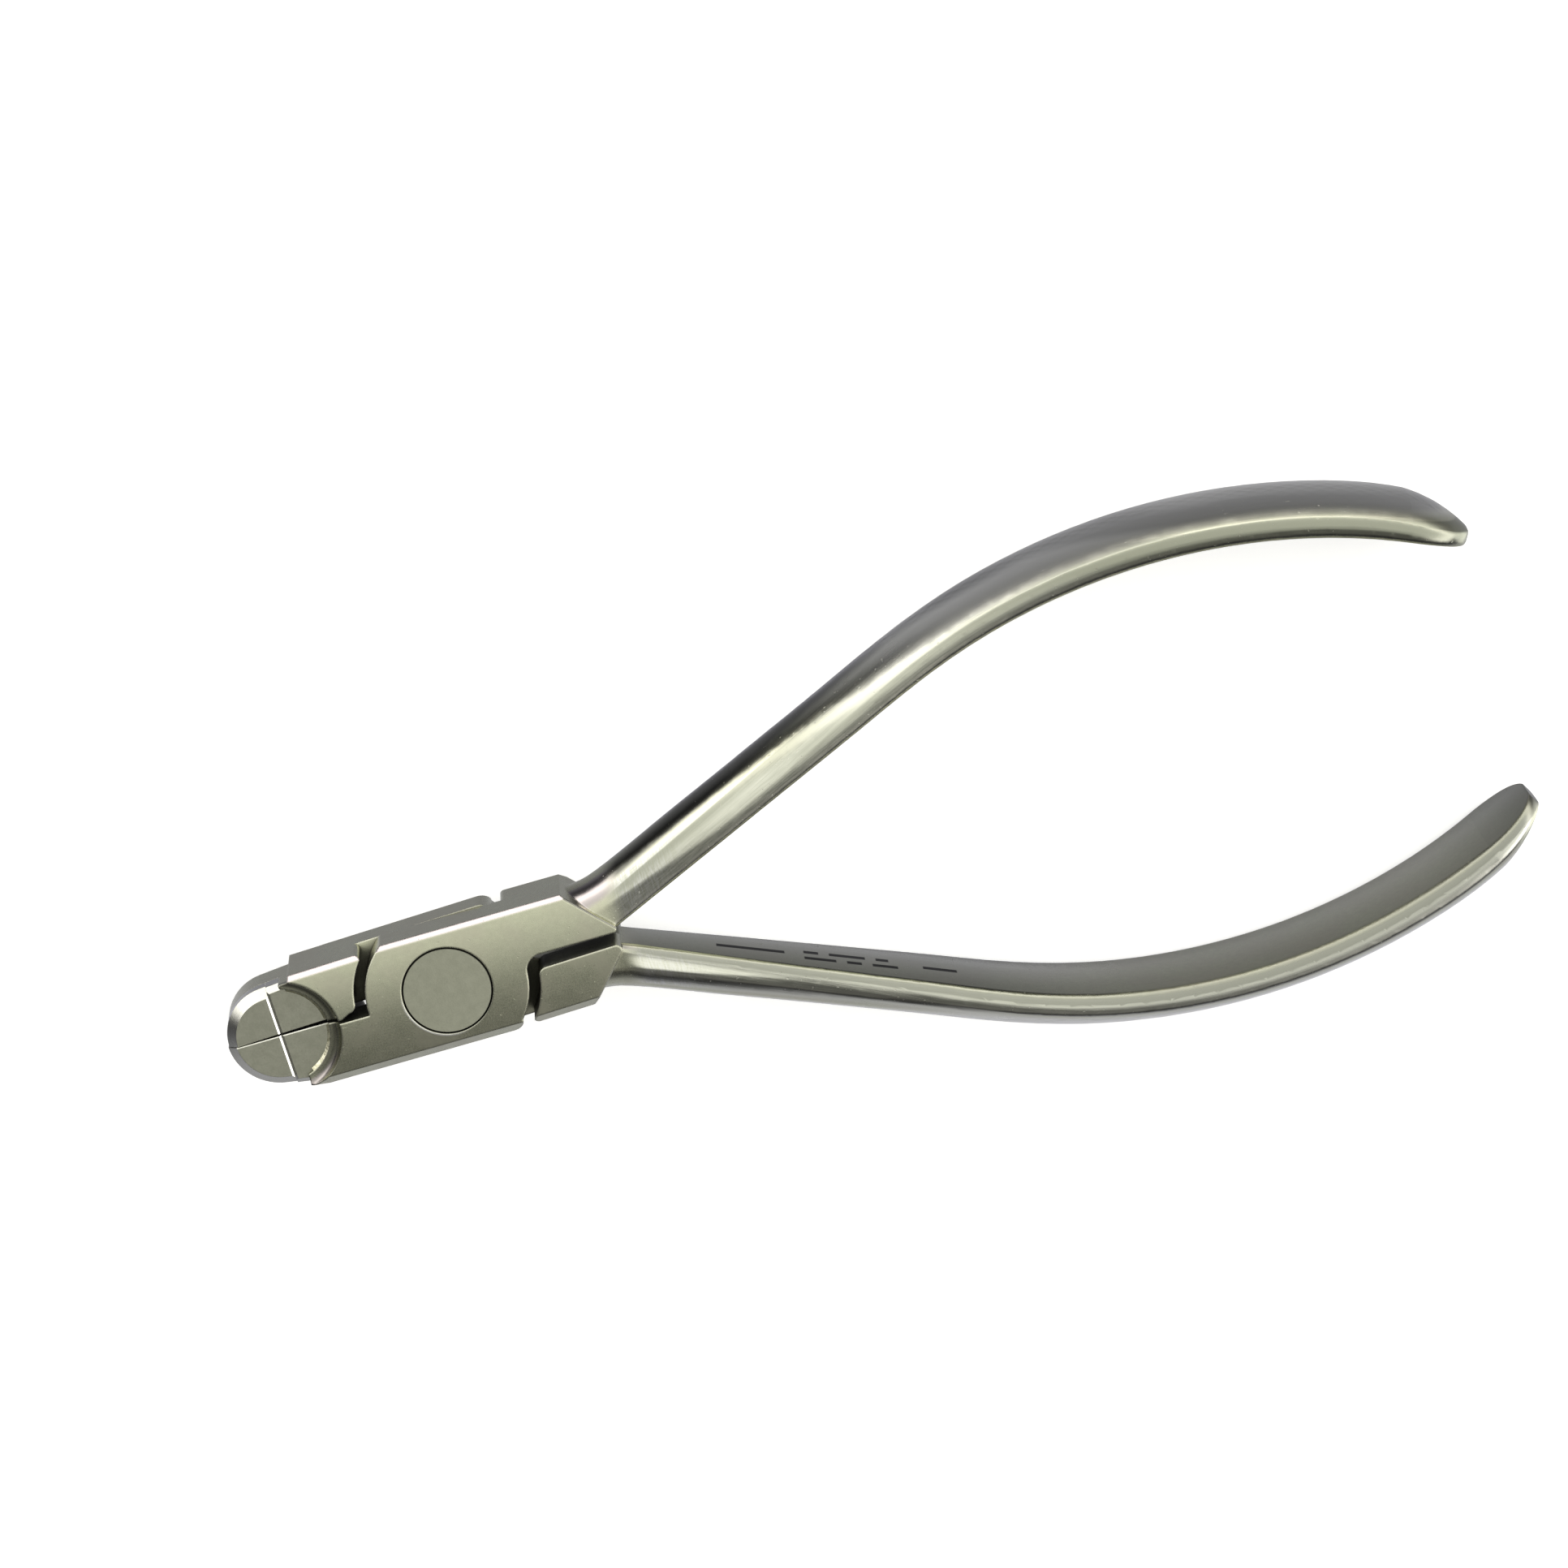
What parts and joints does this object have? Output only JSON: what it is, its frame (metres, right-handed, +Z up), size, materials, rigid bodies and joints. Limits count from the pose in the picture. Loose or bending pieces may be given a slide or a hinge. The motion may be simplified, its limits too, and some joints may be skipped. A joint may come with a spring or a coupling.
{
  "type": "sprue nippers",
  "caption": "Slim steel lap-joint cutting pliers with a round flush-cutting face at the tip, bowed spatula-ended handles and a flush pivot rivet.",
  "frame": {"origin": "on the pivot axis, at the underside face of the lap joint", "axes": "+X from the pivot toward the handle ends, +Y toward the handle of the lever whose plate is uppermost, +Z up out of the face that shows the rivet head"},
  "size_m": [0.1342, 0.0526, 0.0128],
  "materials": {
    "steel": "satin",
    "rivet_steel": "satin",
    "carbide": "fine ground matte",
    "braze": "rough cast fillet"
  },
  "bodies": {
    "far_arm": {"far_lever": "steel", "pivot_rivet": "rivet_steel", "upper_front_insert": "carbide", "upper_rear_insert": "carbide", "upper_braze_seam": "braze"},
    "near_arm": {"near_lever": "steel", "lower_front_insert": "carbide", "lower_rear_insert": "carbide", "lower_braze_seam": "braze"}
  },
  "joints": [
    {"name": "jaw_pivot", "type": "hinge", "parent": "far_arm", "child": "near_arm", "pos_m": [0, 0, 0], "axis": [0, 0, 1], "range_deg": [0, 98]}
  ]
}
